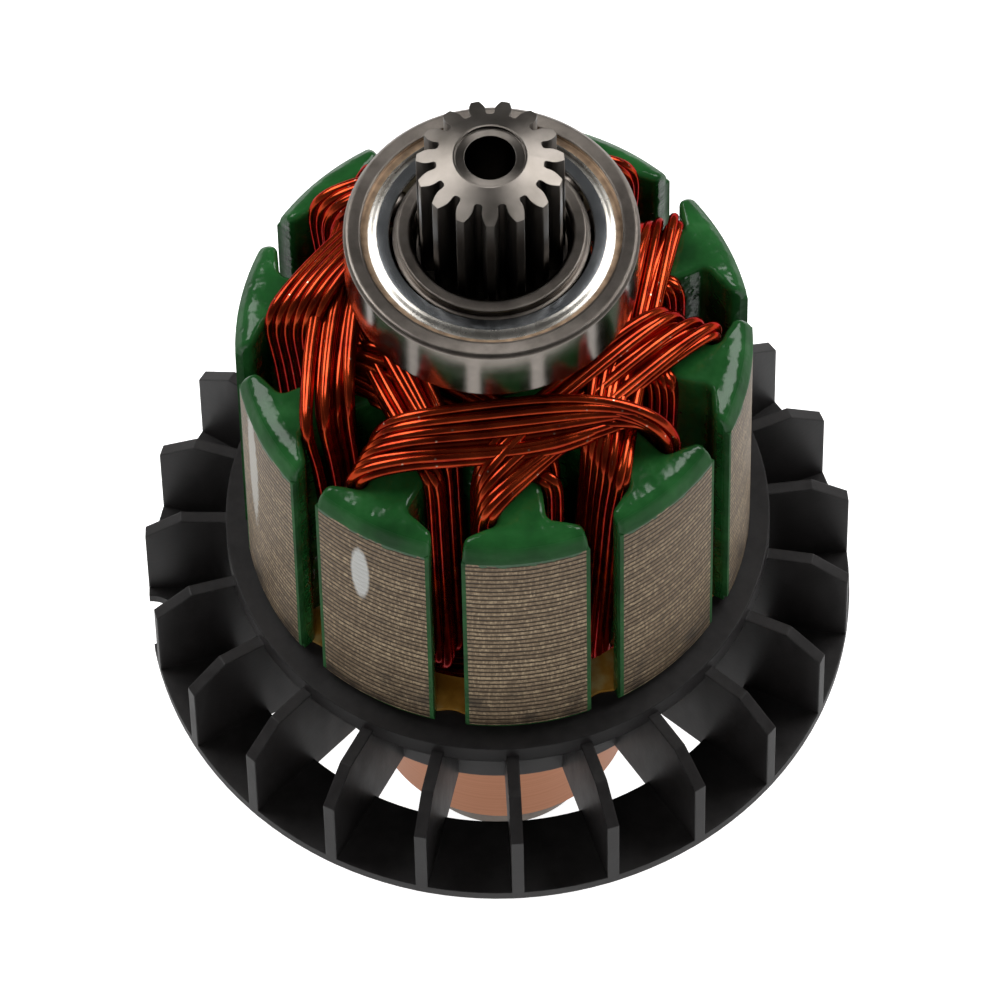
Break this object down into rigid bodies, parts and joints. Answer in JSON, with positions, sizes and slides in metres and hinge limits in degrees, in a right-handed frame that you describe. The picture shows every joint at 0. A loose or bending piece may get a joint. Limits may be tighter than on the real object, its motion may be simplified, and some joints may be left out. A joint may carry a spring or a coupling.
{
  "type": "power tool armature",
  "caption": "Motor rotor with a slotted laminated core, lap-wound coils, a bladed cooling fan, a barred commutator, a ball bearing at each end and a toothed pinion.",
  "frame": {"origin": "centre of the rear bearing's lower face, on the shaft's axis, where the part stands", "axes": "+Z along the shaft from the rear bearing to the pinion; +X to the right and +Y away as pictured"},
  "size_m": [0.0698, 0.0698, 0.1118],
  "materials": {
    "machined_steel": "ground, with light oil",
    "lamination_steel": "stacked punched sheets, worn",
    "green_epoxy": "glossy powder coat",
    "enamelled_copper": "glossy enamel and resin",
    "amber_fibre": "varnished",
    "black_plastic": "moulded, satin",
    "moulding": "moulded",
    "bar_copper": "turned",
    "bearing_steel": "ground",
    "ball_steel": "polished",
    "cage_plastic": "moulded",
    "shield_steel": "pressed, dark grey blue"
  },
  "bodies": {
    "rotor": {"shaft": "machined_steel", "core": "lamination_steel", "core_coat": "green_epoxy", "coil_1": "enamelled_copper", "coil_2": "enamelled_copper", "coil_3": "enamelled_copper", "coil_4": "enamelled_copper", "coil_5": "enamelled_copper", "coil_6": "enamelled_copper", "coil_7": "enamelled_copper", "coil_8": "enamelled_copper", "coil_9": "enamelled_copper", "coil_10": "enamelled_copper", "amber_washer": "amber_fibre", "fan": "black_plastic", "commutator_bar_1": "bar_copper", "commutator_bar_2": "bar_copper", "commutator_bar_3": "bar_copper", "commutator_bar_4": "bar_copper", "commutator_bar_5": "bar_copper", "commutator_bar_6": "bar_copper", "commutator_bar_7": "bar_copper", "commutator_bar_8": "bar_copper", "commutator_bar_9": "bar_copper", "commutator_bar_10": "bar_copper", "commutator_body": "moulding", "rear_spacer": "machined_steel", "front_bearing_inner_ring": "bearing_steel", "rear_bearing_inner_ring": "bearing_steel"},
    "front_outer_race": {"front_bearing_outer_ring": "bearing_steel", "front_bearing_upper_shield": "shield_steel", "front_bearing_lower_shield": "shield_steel"},
    "front_ball_set": {"front_bearing_balls": "ball_steel", "front_bearing_cage": "cage_plastic"},
    "rear_outer_race": {"rear_bearing_outer_ring": "bearing_steel", "rear_bearing_upper_shield": "shield_steel", "rear_bearing_lower_shield": "shield_steel"},
    "rear_ball_set": {"rear_bearing_balls": "ball_steel", "rear_bearing_cage": "cage_plastic"}
  },
  "joints": [
    {"name": "front_race_spin", "type": "hinge", "parent": "rotor", "child": "front_outer_race", "pos_m": [0, 0, 0.0953], "axis": [0, 0, 1], "continuous": true},
    {"name": "front_balls_spin", "type": "hinge", "parent": "rotor", "child": "front_ball_set", "pos_m": [0, 0, 0.0953], "axis": [0, 0, 1], "continuous": true},
    {"name": "rear_race_spin", "type": "hinge", "parent": "rotor", "child": "rear_outer_race", "pos_m": [0, 0, 0.003], "axis": [0, 0, 1], "continuous": true},
    {"name": "rear_balls_spin", "type": "hinge", "parent": "rotor", "child": "rear_ball_set", "pos_m": [0, 0, 0.003], "axis": [0, 0, 1], "continuous": true}
  ],
  "couplings": [
    {"joint": "front_balls_spin", "follows": "front_race_spin", "ratio": 0.5845},
    {"joint": "rear_balls_spin", "follows": "rear_race_spin", "ratio": 0.6172}
  ]
}
